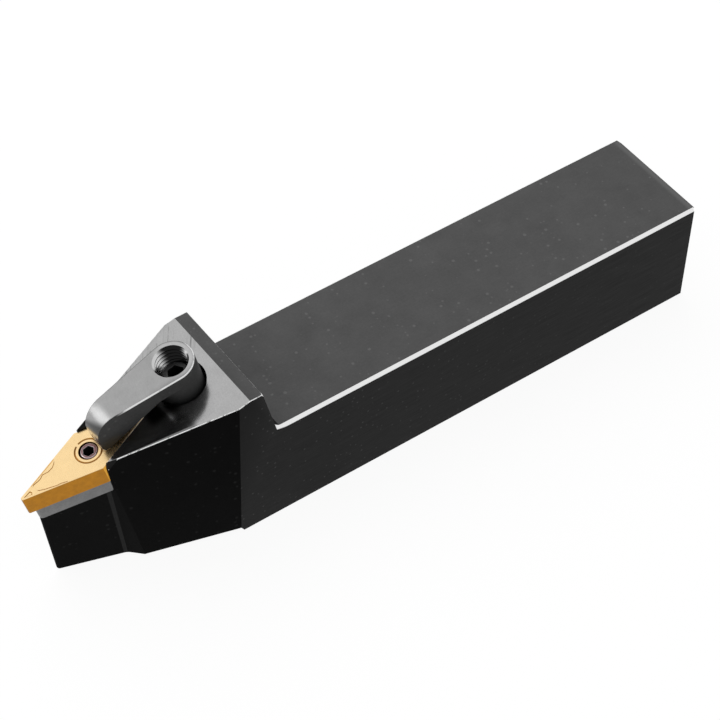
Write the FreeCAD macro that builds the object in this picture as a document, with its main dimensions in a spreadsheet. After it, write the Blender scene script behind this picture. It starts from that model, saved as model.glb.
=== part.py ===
import FreeCAD, Part
import math
import os
import Sketcher

# Neutral turning tool holder: a square steel shank whose head carries a 35 degree rhombic
# insert on a shim. A lock pin stands in the insert's hole, and a finger clamp presses the
# insert down, drawn by a stud with a right-hand thread at one end and a left-hand thread at
# the other. Millimetres and degrees.
# The holder's frame has its origin under the middle of the shank, +X from the insert's tip
# to the rear end and +Z up. The insert, shim, pin, clamp and stud share a second frame: its
# origin is the insert's tip, its X axis rises along the insert's face by the tilt angle, and
# its Z axis is the face's normal. Places named reach are measured along that X axis, and
# places named level along that Z axis.

SIZES = {
    # Shank
    "overall_length": 150.0,
    "shank_width": 25.0,
    "shank_height": 25.0,
    "long_edge_chamfer": 0.6,
    "end_chamfer": 1.0,
    # Head
    "tip_height": 25.0,
    "tilt": 15.0,
    "head_height": 36.6,
    "deck_rise": 0.5,
    "ridge_width": 2.7,
    "step_lean": 15.0,
    "step_radius": 1.5,
    "head_taper": 17.5,
    "head_side_inset": 0.25,
    "underside_step": 1.0,
    "underside_rear_rise": 1.65,
    "underside_front_rise": 0.75,
    # Nose under the shim, in a frame of its own that leans less than the insert
    "nose_lean": 8.0,
    "nose_apex_reach": 1.1,
    "nose_radius": 0.5,
    "nose_back_reach": 15.0,
    "nose_relief_angle": 46.0,
    "nose_relief_radius": 2.6,
    "nose_foot_radius": 0.6,
    "nose_front_stock": 0.1,
    # Insert
    "inscribed_circle": 9.525,
    "point_angle": 35.0,
    "insert_thickness": 4.76,
    "corner_radius": 0.4,
    "insert_hole": 3.81,
    "dish_diameter": 5.2,
    "dish_depth": 0.08,
    "edge_land": 0.15,
    "chip_groove_width": 0.95,
    "chip_groove_depth": 0.12,
    "chip_groove_reach": 9.0,
    "chip_groove_runout": 1.4,
    # Seat
    "shim_thickness": 3.18,
    "shim_inset": 0.1,
    "shim_corner_radius": 0.8,
    "seat_gap": 0.02,
    "seat_corner_relief": 1.2,
    # Lock pin
    "pin_head_diameter": 3.56,
    "pin_head_offset": 0.08,
    "pin_head_level": -0.1,
    "pin_head_chamfer": 0.25,
    "pin_flange_diameter": 6.4,
    "pin_flange_thickness": 0.6,
    "pin_thread_diameter": 5.0,
    "pin_thread_length": 8.5,
    "pin_key": 2.0,
    "pin_key_depth": 2.6,
    # Clamp
    "clamp_reach": 35.7,
    "clamp_top_level": 7.6,
    "clamp_toe_reach": 16.95,
    "boss_diameter": 8.9,
    "boss_level": -4.0,
    "finger_tip_width": 4.5,
    "finger_round": 4.5,
    "finger_under_level": 4.6,
    "finger_under_radius": 3.0,
    "toe_bevel": 0.35,
    "toe_bevel_height": 0.9,
    "foot_length": 1.3,
    "arch_angle": 21.5,
    "rim_chamfer": 0.4,
    "clamp_edge_radius": 0.25,
    "counterbore_gap": 0.6,
    "counterbore_floor_gap": 0.6,
    # Clamp stud
    "stud_diameter": 6.0,
    "stud_top_level": 3.6,
    "stud_length": 20.6,
    "stud_chamfer": 0.6,
    "stud_neck_diameter": 4.8,
    "stud_neck_length": 2.0,
    "stud_key": 3.0,
    "stud_key_depth": 3.0,
    # Fits and drilled holes
    "running_gap": 0.05,
    "thread_end_gap": 1.0,
    "drill_point_angle": 118.0,
}

# Places worked out from the sizes
LAYOUT = {
    "tip_x": "-dim.overall_length / 2",
    "rear_x": "dim.overall_length / 2",
    "half_width": "dim.shank_width / 2",
    "half_angle": "dim.point_angle / 2",
    "half_long": "dim.inscribed_circle / (2 * sin(half_angle))",
    "half_short": "dim.inscribed_circle / (2 * cos(half_angle))",
    "corner_loss": "dim.corner_radius / sin(half_angle) - dim.corner_radius",
    "centre_reach": "half_long - corner_loss",
    "seat_level": "-(dim.insert_thickness + dim.shim_thickness)",
    "seat_apex_reach": "centre_reach + half_long + dim.seat_gap / sin(half_angle)",
    "nose_front_reach":
        "dim.nose_apex_reach + dim.nose_radius / sin(half_angle) - dim.nose_radius - dim.nose_front_stock",
    "nose_back_half": "(dim.nose_back_reach - dim.nose_apex_reach) * tan(half_angle)",
    "nose_relief_reach": "dim.nose_back_reach + dim.shank_width * cos(dim.nose_relief_angle)",
    "nose_relief_half": "nose_back_half + dim.shank_width * sin(dim.nose_relief_angle)",
    "ridge_front_x":
        "tip_x + (dim.head_height - dim.tip_height - dim.deck_rise / cos(dim.tilt)) / tan(dim.tilt)",
    "ridge_rear_x": "ridge_front_x + dim.ridge_width",
    "step_x": "ridge_rear_x + (dim.head_height - dim.shank_height) * tan(dim.step_lean)",
    "foot_x":
        "tip_x + nose_front_reach / cos(dim.nose_lean)"
        " + (dim.tip_height - dim.underside_front_rise) * tan(dim.nose_lean)",
    "deck_tip_rise": "dim.deck_rise / cos(dim.tilt)",
    "front_top_x":
        "tip_x + (nose_front_reach / cos(dim.nose_lean) - deck_tip_rise * tan(dim.nose_lean))"
        " / (1 + tan(dim.tilt) * tan(dim.nose_lean))",
    "front_top_z": "dim.tip_height + (front_top_x - tip_x) * tan(dim.tilt) + deck_tip_rise",
    "relief_x":
        "tip_x + dim.nose_back_reach / cos(dim.nose_lean)"
        " + (dim.tip_height - dim.underside_front_rise) * tan(dim.nose_lean)",
    "wide_corner_x": "tip_x + centre_reach * cos(dim.tilt)",
    "wide_corner_y": "half_short - dim.head_side_inset",
    "break_x": "wide_corner_x + (half_width - wide_corner_y) / tan(dim.head_taper)",
    "taper_end_y": "wide_corner_y - (wide_corner_x - tip_x) * tan(dim.head_taper)",
    "drill_slope": "tan(90 - dim.drill_point_angle / 2)",
    "counterbore_radius": "dim.boss_diameter / 2 + dim.counterbore_gap",
    "counterbore_level": "dim.boss_level - dim.counterbore_floor_gap",
    "stud_hole_radius": "dim.stud_diameter / 2 + dim.running_gap",
    "stud_bottom_level": "dim.stud_top_level - dim.stud_length",
    "stud_hole_level": "stud_bottom_level - dim.thread_end_gap",
    "pin_hole_radius": "dim.pin_thread_diameter / 2 + dim.running_gap",
    "pin_bottom_level": "seat_level - dim.pin_thread_length",
    "pin_hole_level": "pin_bottom_level - dim.thread_end_gap",
    "flange_top_level": "-dim.insert_thickness - dim.running_gap",
    "flange_low_level": "flange_top_level - dim.pin_flange_thickness",
    "flange_cone_level":
        "flange_low_level - (dim.pin_flange_diameter - dim.pin_thread_diameter) / 2",
    "groove_start": "half_long - dim.edge_land / sin(half_angle)",
    "groove_inner_start": "half_long - (dim.edge_land + dim.chip_groove_width) / sin(half_angle)",
    "groove_end": "centre_reach - dim.chip_groove_reach",
    "groove_end_half": "(groove_start - groove_end) * tan(half_angle)",
    "groove_inner_end": "groove_end + dim.chip_groove_runout",
    "groove_inner_half": "(groove_inner_start - groove_inner_end) * tan(half_angle)",
    "shim_half_long": "half_long - dim.shim_inset / sin(half_angle)",
    "shim_half_short": "half_short - dim.shim_inset / cos(half_angle)",
    "boss_radius": "dim.boss_diameter / 2",
    "tip_half": "dim.finger_tip_width / 2",
    "toe_x": "dim.clamp_toe_reach - dim.clamp_reach",
    "flank_angle": "asin(boss_radius / sqrt(toe_x * toe_x + tip_half * tip_half)) + atan(tip_half / toe_x)",
    "flank_x": "-boss_radius * sin(flank_angle)",
    "flank_y": "boss_radius * cos(flank_angle)",
    "heel_x": "toe_x + dim.foot_length",
    "elbow_x": "heel_x + dim.finger_under_level / tan(dim.arch_angle)",
}

PLAN = "XY_Plane"
SIDE = "XZ_Plane"
MIRROR = "XZ_Plane"

doc = FreeCAD.newDocument("turning_tool_holder")


def fill_sheet(name, rows):
    """A sheet with one alias for each row."""
    sheet = doc.addObject("Spreadsheet::Sheet", name)
    for row, (alias, text) in enumerate(rows.items(), start=1):
        sheet.set("A%d" % row, alias)
        sheet.setAlias("B%d" % row, alias)
        sheet.set("B%d" % row, text)
    doc.recompute()
    return sheet


dim = fill_sheet("dim", {alias: str(size) for alias, size in SIZES.items()})
lay = fill_sheet("lay", {alias: "=" + formula for alias, formula in LAYOUT.items()})
gauge = doc.addObject("Spreadsheet::Sheet", "gauge")


def number(formula):
    """The present value of a formula of sheet names, read through a cell of its own sheet."""
    gauge.set("A1", "=" + formula)
    gauge.recompute()
    return float(gauge.get("A1"))


def bind(thing, path, formula):
    """Tie a property or a sketch constraint to a formula."""
    thing.setExpression(path, formula)


def origin_plane(body, role):
    """One of the body's own origin planes."""
    return next(plane for plane in body.Origin.OriginFeatures if plane.Role == role)


def new_body(label, reach=None, level=None):
    """A body; with a reach and a level it stands in the tilted frame of the insert."""
    body = doc.addObject("PartDesign::Body", label)
    body.Label = label
    if reach is not None:
        down = FreeCAD.Vector(0, -1, 0)
        body.Placement = FreeCAD.Placement(FreeCAD.Vector(), FreeCAD.Rotation(down, SIZES["tilt"]))
        bind(body, "Placement.Rotation.Angle", "dim.tilt")
        bind(body, "Placement.Base.x", tilted_x(reach, level))
        bind(body, "Placement.Base.z", tilted_z(reach, level))
    return body


def tilted_x(reach, level):
    """World X of a point of the tilted frame."""
    return "lay.tip_x + (%s) * cos(dim.tilt) - (%s) * sin(dim.tilt)" % (reach, level)


def tilted_z(reach, level):
    """World Z of a point of the tilted frame."""
    return "dim.tip_height + (%s) * sin(dim.tilt) + (%s) * cos(dim.tilt)" % (reach, level)


def new_sketch(body, name, plane, level=None):
    """A sketch on an origin plane of the body, raised along its normal by a level."""
    sketch = body.newObject("Sketcher::SketchObject", name)
    sketch.AttachmentSupport = (origin_plane(body, plane), [""])
    sketch.MapMode = "FlatFace"
    if level is not None:
        bind(sketch, "AttachmentOffset.Base.z", level)
    return sketch


def tilted_sketch(body, name, plane, reach, level, tilt="tilt"):
    """A sketch of the holder that lies in the insert's tilted frame, or leans by another size."""
    sketch = new_sketch(body, name, plane)
    if plane == PLAN:
        axis = FreeCAD.Vector(0, -1, 0)
        height = "AttachmentOffset.Base.z"
    else:
        axis = FreeCAD.Vector(0, 0, 1)
        height = "AttachmentOffset.Base.y"
    sketch.AttachmentOffset = FreeCAD.Placement(FreeCAD.Vector(), FreeCAD.Rotation(axis, SIZES[tilt]))
    bind(sketch, "AttachmentOffset.Rotation.Angle", "dim." + tilt)
    bind(sketch, "AttachmentOffset.Base.x", tilted_x(reach, level))
    bind(sketch, height, tilted_z(reach, level))
    return sketch


def pin_point(sketch, place, formulas):
    """Hold a sketch point at a place given by two formulas."""
    geometry, end = place
    h_axis, v_axis = -1, -2
    for kind, formula, axis in (("DistanceX", formulas[0], v_axis), ("DistanceY", formulas[1], h_axis)):
        if formula == "0":
            sketch.addConstraint(Sketcher.Constraint("PointOnObject", geometry, end, axis))
        else:
            here = Sketcher.Constraint(kind, h_axis, 1, geometry, end, number(formula))
            index = sketch.addConstraint(here)
            bind(sketch, "Constraints[%d]" % index, formula)


def bow(sketch, centre, radius, start, end):
    """The short arc from start to end, with the numbers of its two ends in that order."""
    up = FreeCAD.Vector(0, 0, 1)
    turns_left = (start - centre).cross(end - centre).z > 0
    low, high = (start, end) if turns_left else (end, start)
    low_angle = math.atan2(low.y - centre.y, low.x - centre.x)
    high_angle = math.atan2(high.y - centre.y, high.x - centre.x)
    ring = Part.Circle(centre, up, radius)
    arc = sketch.addGeometry(Part.ArcOfCircle(ring, low_angle, high_angle), False)
    return (arc, 1, 2) if turns_left else (arc, 2, 1)


def outline(sketch, corners):
    """A closed outline through corners (x, y) or (x, y, radius), all of them formulas."""
    count = len(corners)
    places = [FreeCAD.Vector(number(c[0]), number(c[1]), 0) for c in corners]
    radii = [number(c[2]) if len(c) > 2 else 0.0 for c in corners]
    starts, ends, points, lines = [], [], [], []
    for i, place in enumerate(places):
        back = (places[i - 1] - place).normalize()
        ahead = (places[(i + 1) % count] - place).normalize()
        trim = radii[i] / math.tan(back.getAngle(ahead) / 2)
        ends.append(place + back * trim)
        starts.append(place + ahead * trim)
        point = sketch.addGeometry(Part.Point(place), True)
        pin_point(sketch, (point, 1), corners[i])
        points.append(point)
    for i in range(count):
        segment = Part.LineSegment(starts[i], ends[(i + 1) % count])
        lines.append(sketch.addGeometry(segment, False))
    for i, place in enumerate(places):
        before, after = lines[i - 1], lines[i]
        if radii[i] == 0.0:
            sketch.addConstraint(Sketcher.Constraint("Coincident", before, 2, points[i], 1))
            sketch.addConstraint(Sketcher.Constraint("Coincident", after, 1, points[i], 1))
            continue
        back = (ends[i] - place).normalize()
        ahead = (starts[i] - place).normalize()
        middle = (back + ahead).normalize()
        centre = place + middle * (radii[i] / math.sin(back.getAngle(ahead) / 2))
        arc, first, last = bow(sketch, centre, radii[i], ends[i], starts[i])
        sketch.addConstraint(Sketcher.Constraint("Tangent", before, 2, arc, first))
        sketch.addConstraint(Sketcher.Constraint("Tangent", arc, last, after, 1))
        sketch.addConstraint(Sketcher.Constraint("PointOnObject", points[i], 1, before))
        sketch.addConstraint(Sketcher.Constraint("PointOnObject", points[i], 1, after))
        index = sketch.addConstraint(Sketcher.Constraint("Radius", arc, radii[i]))
        bind(sketch, "Constraints[%d]" % index, corners[i][2])


def circle(sketch, x, y, radius):
    """A circle at a place and of a radius given by formulas."""
    centre = FreeCAD.Vector(number(x), number(y), 0)
    normal = FreeCAD.Vector(0, 0, 1)
    ring = sketch.addGeometry(Part.Circle(centre, normal, number(radius)), False)
    pin_point(sketch, (ring, 3), (x, y))
    index = sketch.addConstraint(Sketcher.Constraint("Radius", ring, number(radius)))
    bind(sketch, "Constraints[%d]" % index, radius)


def hexagon(sketch, across_flats):
    """A hexagon round the sketch's origin with two corners on its H axis."""
    corner = "%s / sqrt(3)" % across_flats
    half = "%s / sqrt(12)" % across_flats
    flat = "%s / 2" % across_flats
    outline(sketch, [
        (corner, "0"),
        (half, flat),
        ("-" + half, flat),
        ("-" + corner, "0"),
        ("-" + half, "-" + flat),
        (half, "-" + flat),
    ])


def extrude(body, kind, name, sketch, length=None, side="One side", reverse=False):
    """A pad or a pocket; a pocket without a length goes through all."""
    feature = body.newObject("PartDesign::" + kind, name)
    feature.Profile = sketch
    feature.SideType = side
    feature.Reversed = reverse
    if length is None:
        feature.Type = "ThroughAll"
    else:
        feature.Type = "Length"
        bind(feature, "Length", length)
    doc.recompute()
    return feature


def turn(body, kind, name, sketch):
    """A revolution or a groove round the sketch's vertical axis."""
    feature = body.newObject("PartDesign::" + kind, name)
    feature.Profile = sketch
    feature.ReferenceAxis = (sketch, ["V_Axis"])
    feature.Angle = 360
    doc.recompute()
    return feature


def mirror(body, name, features, plane):
    """The same features on the other side of an origin plane."""
    twin = body.newObject("PartDesign::Mirrored", name)
    twin.Originals = features
    twin.MirrorPlane = (origin_plane(body, plane), [""])
    body.Tip = twin
    doc.recompute()
    return twin


def dress(body, kind, name, chosen, size_name, formula):
    """A chamfer or a fillet on the edges that a test of the edge chooses."""
    base = body.Tip
    names = ["Edge%d" % (i + 1) for i, edge in enumerate(base.Shape.Edges) if chosen(edge)]
    feature = body.newObject("PartDesign::" + kind, name)
    feature.Base = (base, names)
    bind(feature, size_name, formula)
    doc.recompute()
    return feature


def near(a, b):
    """Whether two lengths are the same."""
    return abs(a - b) < 1e-4


def make_holder():
    """Shank and head in one piece of steel, with the seat, the nose and the holes cut in it."""
    body = new_body("holder")
    side = new_sketch(body, "side_outline", SIDE)
    outline(side, [
        ("lay.foot_x", "dim.underside_front_rise", "dim.nose_foot_radius"),
        ("lay.relief_x", "dim.underside_front_rise"),
        ("lay.break_x", "dim.underside_rear_rise"),
        ("lay.break_x + dim.underside_step", "0"),
        ("lay.rear_x", "0"),
        ("lay.rear_x", "dim.shank_height"),
        ("lay.step_x", "dim.shank_height"),
        ("lay.ridge_rear_x", "dim.head_height"),
        ("lay.ridge_front_x", "dim.head_height"),
        ("lay.front_top_x", "lay.front_top_z"),
    ])
    extrude(body, "Pad", "blank", side, "dim.shank_width", "Symmetric")

    taper = new_sketch(body, "taper_outline", PLAN)
    outline(taper, [
        ("lay.break_x", "-lay.half_width"),
        ("lay.tip_x", "-lay.taper_end_y"),
        ("lay.tip_x", "-lay.half_width"),
    ])
    flank = extrude(body, "Pocket", "taper", taper, side="Symmetric")
    mirror(body, "taper_twin", [flank], MIRROR)

    nose = tilted_sketch(body, "nose_outline", PLAN, "0", "0", "nose_lean")
    outline(nose, [
        ("dim.nose_apex_reach", "0", "dim.nose_radius"),
        ("dim.nose_back_reach", "lay.nose_back_half", "dim.nose_relief_radius"),
        ("lay.nose_relief_reach", "lay.nose_relief_half"),
        ("-dim.shank_width", "lay.nose_relief_half"),
        ("-dim.shank_width", "-lay.nose_relief_half"),
        ("lay.nose_relief_reach", "-lay.nose_relief_half"),
        ("dim.nose_back_reach", "-lay.nose_back_half", "dim.nose_relief_radius"),
    ])
    extrude(body, "Pocket", "nose", nose, side="Symmetric")

    seat = tilted_sketch(body, "seat_outline", PLAN, "0", "lay.seat_level")
    outline(seat, [
        ("lay.seat_apex_reach", "0"),
        ("lay.seat_apex_reach - dim.shank_width / tan(lay.half_angle)", "dim.shank_width"),
        ("lay.seat_apex_reach - dim.shank_width / tan(lay.half_angle)", "-dim.shank_width"),
    ])
    extrude(body, "Pocket", "seat", seat, reverse=True)

    relief = tilted_sketch(body, "seat_relief_outline", PLAN, "0", "lay.seat_level")
    circle(relief, "lay.seat_apex_reach - dim.seat_corner_relief", "0", "dim.seat_corner_relief")
    extrude(body, "Pocket", "seat_relief", relief, reverse=True)

    stud_hole = tilted_sketch(body, "stud_hole_outline", SIDE, "dim.clamp_reach", "0")
    outline(stud_hole, [
        ("0", "dim.clamp_top_level"),
        ("0", "lay.stud_hole_level - lay.stud_hole_radius * lay.drill_slope"),
        ("lay.stud_hole_radius", "lay.stud_hole_level"),
        ("lay.stud_hole_radius", "lay.counterbore_level"),
        ("lay.counterbore_radius", "lay.counterbore_level"),
        ("lay.counterbore_radius", "dim.clamp_top_level"),
    ])
    turn(body, "Groove", "stud_hole", stud_hole)

    pin_hole = tilted_sketch(body, "pin_hole_outline", SIDE, "lay.centre_reach", "lay.seat_level")
    outline(pin_hole, [
        ("0", "dim.shim_thickness"),
        ("0", "lay.pin_hole_level - lay.seat_level - lay.pin_hole_radius * lay.drill_slope"),
        ("lay.pin_hole_radius", "lay.pin_hole_level - lay.seat_level"),
        ("lay.pin_hole_radius", "dim.shim_thickness"),
    ])
    turn(body, "Groove", "pin_hole", pin_hole)

    half_width = number("lay.half_width")
    shank_height = number("dim.shank_height")
    step_x = number("lay.step_x")
    rear_x = number("lay.rear_x")

    def is_long_edge(edge):
        box = edge.BoundBox
        flat = near(box.YLength, 0) and near(box.ZLength, 0)
        outside = near(abs(box.YMin), half_width)
        level = near(box.ZMin, 0) or near(box.ZMin, shank_height)
        return flat and outside and level and near(box.XMax, rear_x)

    def is_step_edge(edge):
        box = edge.BoundBox
        return near(box.XMin, step_x) and near(box.XMax, step_x) and near(box.ZLength, 0)

    def is_end_edge(edge):
        box = edge.BoundBox
        return near(box.XMin, rear_x) and near(box.XMax, rear_x)

    dress(body, "Chamfer", "long_edges", is_long_edge, "Size", "dim.long_edge_chamfer")
    dress(body, "Fillet", "step_edge", is_step_edge, "Radius", "dim.step_radius")
    dress(body, "Chamfer", "end_edges", is_end_edge, "Size", "dim.end_chamfer")
    return body


def rhombus(sketch, half_long, half_short, radius):
    """A rhombus round the sketch's origin, long along its H axis, with rounded corners."""
    outline(sketch, [
        (half_long, "0", radius),
        ("0", half_short, radius),
        ("-" + half_long, "0", radius),
        ("0", "-" + half_short, radius),
    ])


def chip_groove(sketch, way):
    """A V-shaped groove inside the edges of one sharp corner; way is + or - for its end."""
    outline(sketch, [
        (way + "lay.groove_start", "0"),
        (way + "lay.groove_end", "lay.groove_end_half"),
        (way + "lay.groove_inner_end", "lay.groove_inner_half"),
        (way + "lay.groove_inner_start", "0"),
        (way + "lay.groove_inner_end", "-lay.groove_inner_half"),
        (way + "lay.groove_end", "-lay.groove_end_half"),
    ])


def make_insert():
    """Double-sided rhombic insert with a round hole and chip grooves at its sharp corners."""
    body = new_body("insert", "lay.centre_reach", "-dim.insert_thickness / 2")
    plan = new_sketch(body, "insert_outline", PLAN)
    rhombus(plan, "lay.half_long", "lay.half_short", "dim.corner_radius")
    extrude(body, "Pad", "insert_blank", plan, "dim.insert_thickness", "Symmetric")

    hole = new_sketch(body, "insert_hole_outline", PLAN)
    circle(hole, "0", "0", "dim.insert_hole / 2")
    extrude(body, "Pocket", "insert_hole", hole, side="Symmetric")

    dish = new_sketch(body, "dish_outline", PLAN, "dim.insert_thickness / 2")
    circle(dish, "0", "0", "dim.dish_diameter / 2")
    dished = extrude(body, "Pocket", "dish", dish, "dim.dish_depth")

    front = new_sketch(body, "front_groove_outline", PLAN, "dim.insert_thickness / 2")
    chip_groove(front, "-")
    front_groove = extrude(body, "Pocket", "front_groove", front, "dim.chip_groove_depth")

    rear = new_sketch(body, "rear_groove_outline", PLAN, "dim.insert_thickness / 2")
    chip_groove(rear, "")
    rear_groove = extrude(body, "Pocket", "rear_groove", rear, "dim.chip_groove_depth")
    mirror(body, "underside", [dished, front_groove, rear_groove], PLAN)
    return body


def make_shim():
    """Carbide shim of the insert's form, with a countersunk hole for the pin's flange."""
    body = new_body("shim", "lay.centre_reach", "lay.seat_level")
    plan = new_sketch(body, "shim_outline", PLAN)
    rhombus(plan, "lay.shim_half_long", "lay.shim_half_short", "dim.shim_corner_radius")
    extrude(body, "Pad", "shim_blank", plan, "dim.shim_thickness")

    gap = "dim.running_gap"
    hole = new_sketch(body, "shim_hole_outline", SIDE)
    outline(hole, [
        ("0", "-dim.shim_thickness"),
        ("dim.pin_thread_diameter / 2 + " + gap, "-dim.shim_thickness"),
        ("dim.pin_thread_diameter / 2 + " + gap, "lay.flange_cone_level - lay.seat_level - " + gap),
        ("dim.pin_flange_diameter / 2 + " + gap, "lay.flange_low_level - lay.seat_level - " + gap),
        ("dim.pin_flange_diameter / 2 + " + gap, "2 * dim.shim_thickness"),
        ("0", "2 * dim.shim_thickness"),
    ])
    turn(body, "Groove", "shim_hole", hole)
    return body


def make_lock_pin():
    """Threaded pin with a coned flange in the shim and a plain eccentric head in the insert."""
    body = new_body("lock_pin", "lay.centre_reach", "0")
    chamfer = "(dim.pin_thread_diameter / 10)"
    profile = new_sketch(body, "pin_profile", SIDE)
    outline(profile, [
        ("0", "lay.pin_bottom_level"),
        ("dim.pin_thread_diameter / 2 - " + chamfer, "lay.pin_bottom_level"),
        ("dim.pin_thread_diameter / 2", "lay.pin_bottom_level + " + chamfer),
        ("dim.pin_thread_diameter / 2", "lay.flange_cone_level"),
        ("dim.pin_flange_diameter / 2", "lay.flange_low_level"),
        ("dim.pin_flange_diameter / 2", "lay.flange_top_level"),
        ("0", "lay.flange_top_level"),
    ])
    turn(body, "Revolution", "pin_shank", profile)

    head = new_sketch(body, "pin_head_outline", PLAN, "lay.flange_low_level")
    circle(head, "dim.pin_head_offset", "0", "dim.pin_head_diameter / 2")
    extrude(body, "Pad", "pin_head", head, "dim.pin_head_level - lay.flange_low_level")

    radius = number("dim.pin_head_diameter / 2")
    level = number("dim.pin_head_level")

    def is_rim(edge):
        round_edge = isinstance(edge.Curve, Part.Circle) and near(edge.Curve.Radius, radius)
        return round_edge and near(edge.Curve.Center.z, level)

    dress(body, "Chamfer", "pin_rim", is_rim, "Size", "dim.pin_head_chamfer")
    socket = new_sketch(body, "pin_socket_outline", PLAN, "dim.pin_head_level")
    hexagon(socket, "dim.pin_key")
    extrude(body, "Pocket", "pin_socket", socket, "dim.pin_key_depth")
    return body


def make_clamp():
    """Finger clamp: a round boss in the counterbore and an arched finger down to the insert."""
    body = new_body("clamp", "dim.clamp_reach", "0")
    side = new_sketch(body, "finger_outline", SIDE)
    outline(side, [
        ("lay.flank_x", "dim.clamp_top_level"),
        ("lay.toe_x", "dim.clamp_top_level", "dim.finger_round"),
        ("lay.toe_x", "dim.toe_bevel_height"),
        ("lay.toe_x + dim.toe_bevel", "0"),
        ("lay.heel_x", "0"),
        ("lay.elbow_x", "dim.finger_under_level", "dim.finger_under_radius"),
        ("lay.flank_x", "dim.finger_under_level"),
    ])
    extrude(body, "Pad", "finger", side, "dim.boss_diameter", "Symmetric")

    flank = new_sketch(body, "flank_outline", PLAN)
    outline(flank, [
        ("lay.toe_x", "-lay.tip_half"),
        ("lay.flank_x", "-lay.flank_y"),
        ("lay.flank_x", "-dim.boss_diameter"),
        ("lay.toe_x", "-dim.boss_diameter"),
    ])
    cut = extrude(body, "Pocket", "flank", flank, side="Symmetric")
    mirror(body, "flank_twin", [cut], MIRROR)

    round_boss = new_sketch(body, "boss_outline", PLAN, "dim.boss_level")
    circle(round_boss, "0", "0", "lay.boss_radius")
    extrude(body, "Pad", "boss", round_boss, "dim.clamp_top_level - dim.boss_level")

    hole = new_sketch(body, "clamp_hole_outline", PLAN)
    circle(hole, "0", "0", "lay.stud_hole_radius")
    extrude(body, "Pocket", "clamp_hole", hole, side="Symmetric")

    top = number("dim.clamp_top_level")
    hole_radius = number("lay.stud_hole_radius")
    toe_x = number("lay.toe_x")
    crown_x = toe_x + number("dim.finger_round")

    def is_rim(edge):
        round_edge = isinstance(edge.Curve, Part.Circle) and near(edge.Curve.Radius, hole_radius)
        return round_edge and near(edge.Curve.Center.z, top)

    def is_top_edge(edge):
        box = edge.BoundBox
        level_edge = near(box.ZMin, top) and not is_rim(edge) and not near(box.XMin, box.XMax)
        bowed_edge = near(box.XMin, toe_x) and near(box.XMax, crown_x) and near(box.ZMax, top)
        return level_edge or bowed_edge

    dress(body, "Fillet", "top_edges", is_top_edge, "Radius", "dim.clamp_edge_radius")
    dress(body, "Chamfer", "rim", is_rim, "Size", "dim.rim_chamfer")
    return body


def make_clamp_stud():
    """Double-ended stud with a neck between its two threads and a hex socket in each end."""
    body = new_body("clamp_stud", "dim.clamp_reach", "0")
    radius = "dim.stud_diameter / 2"
    neck_top = "(lay.counterbore_level + dim.stud_neck_length / 2)"
    neck_low = "(lay.counterbore_level - dim.stud_neck_length / 2)"
    profile = new_sketch(body, "stud_profile", SIDE)
    outline(profile, [
        ("0", "lay.stud_bottom_level"),
        (radius + " - dim.stud_chamfer", "lay.stud_bottom_level"),
        (radius, "lay.stud_bottom_level + dim.stud_chamfer"),
        (radius, neck_low),
        ("dim.stud_neck_diameter / 2", neck_low),
        ("dim.stud_neck_diameter / 2", neck_top),
        (radius, neck_top),
        (radius, "dim.stud_top_level - dim.stud_chamfer"),
        (radius + " - dim.stud_chamfer", "dim.stud_top_level"),
        ("0", "dim.stud_top_level"),
    ])
    turn(body, "Revolution", "stud_blank", profile)

    upper = new_sketch(body, "upper_socket_outline", PLAN, "dim.stud_top_level")
    hexagon(upper, "dim.stud_key")
    extrude(body, "Pocket", "upper_socket", upper, "dim.stud_key_depth")

    lower = new_sketch(body, "lower_socket_outline", PLAN, "lay.stud_bottom_level")
    hexagon(lower, "dim.stud_key")
    extrude(body, "Pocket", "lower_socket", lower, "dim.stud_key_depth", reverse=True)
    return body


def check(bodies):
    """Stop if any feature failed or any body isn't one valid solid."""
    for thing in doc.Objects:
        if "Invalid" in thing.State or "Error" in thing.State:
            raise RuntimeError("%s failed: %s" % (thing.Name, thing.State))
    for body in bodies:
        if body.Shape.isNull() or not body.Shape.isValid() or len(body.Shape.Solids) != 1:
            raise RuntimeError("%s isn't one valid solid" % body.Label)


def write(bodies):
    """One STEP file for each body."""
    os.makedirs("parts", exist_ok=True)
    for body in bodies:
        body.Shape.exportStep("parts/%s.step" % body.Label)
        box = body.Shape.BoundBox
        print("%s: volume %.2f mm3" % (body.Label, body.Shape.Volume))
        print("    X %.2f..%.2f Y %.2f..%.2f Z %.2f..%.2f" % (
            box.XMin, box.XMax, box.YMin, box.YMax, box.ZMin, box.ZMax))


pieces = [
    make_holder(),
    make_shim(),
    make_insert(),
    make_lock_pin(),
    make_clamp(),
    make_clamp_stud(),
]
doc.recompute()
check(pieces)
write(pieces)
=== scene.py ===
import bpy
import math
from bpy.props import FloatProperty, FloatVectorProperty, PointerProperty
from bpy.types import Operator, Panel, PropertyGroup
from mathutils import Matrix, Vector


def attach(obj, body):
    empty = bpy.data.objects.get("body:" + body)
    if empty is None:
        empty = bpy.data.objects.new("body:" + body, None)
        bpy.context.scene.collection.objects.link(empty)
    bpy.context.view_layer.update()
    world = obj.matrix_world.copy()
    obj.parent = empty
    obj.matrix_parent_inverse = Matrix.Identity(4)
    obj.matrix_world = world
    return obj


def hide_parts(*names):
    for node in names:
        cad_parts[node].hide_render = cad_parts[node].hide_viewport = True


# The finishes and small forms of a turning tool holder's six pieces, and a studio for it. The
# insert, shim, pin, clamp and stud stand in a tilted frame whose origin is the insert's tip:
# reach is measured along the insert's face, across to the far side, and level along the face's
# normal. Places and sizes in the code are in millimetres and are scaled to metres when used.

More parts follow.
